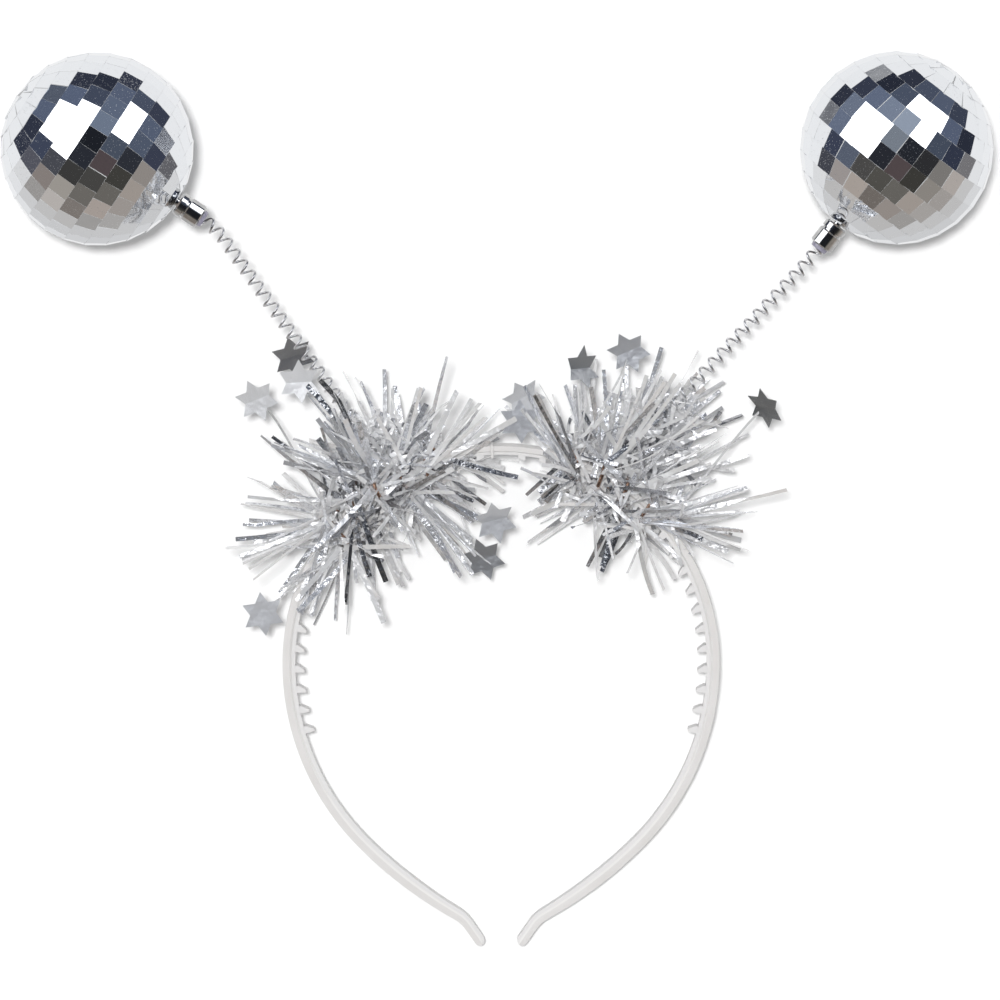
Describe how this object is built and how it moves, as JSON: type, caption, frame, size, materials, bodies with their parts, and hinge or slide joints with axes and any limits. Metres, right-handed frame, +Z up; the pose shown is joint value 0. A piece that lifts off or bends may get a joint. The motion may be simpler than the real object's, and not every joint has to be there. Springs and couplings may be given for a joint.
{
  "type": "head bopper",
  "caption": "Toothed plastic headband with mirror balls on coil springs, and silver tinsel with foil stars wound round the foot of each spring",
  "frame": {"origin": "on the table, at the bottom centre of the box round the whole part as it lies", "axes": "+X from the left ball to the right ball as seen from above with the balls away from the viewer, +Y from the ends of the band towards the balls, +Z up from the table"},
  "size_m": [0.2626, 0.2372, 0.051],
  "materials": {
    "band_plastic": "milky white moulded plastic, slightly see-through, satin",
    "spring_wire": "bright drawn steel wire",
    "collar_chrome": "polished chrome plate",
    "mirror_tiles": "flat silvered mirror tiles with fine specks and scratches",
    "tinsel_foil": "thin metallised foil strips, glossy, bent and creased",
    "star_foil": "embossed metallised foil, lightly creased"
  },
  "bodies": {
    "root": {"headband": "band_plastic", "spring_left": "spring_wire", "spring_right": "spring_wire", "collar_left": "collar_chrome", "collar_right": "collar_chrome", "ball_left": "mirror_tiles", "ball_right": "mirror_tiles", "tinsel_left": "tinsel_foil", "tinsel_right": "tinsel_foil", "star_1": "star_foil", "star_2": "star_foil", "star_3": "star_foil", "star_4": "star_foil", "star_5": "star_foil", "star_6": "star_foil", "star_7": "star_foil", "star_8": "star_foil", "star_9": "star_foil", "star_10": "star_foil", "star_11": "star_foil"}
  },
  "joints": []
}
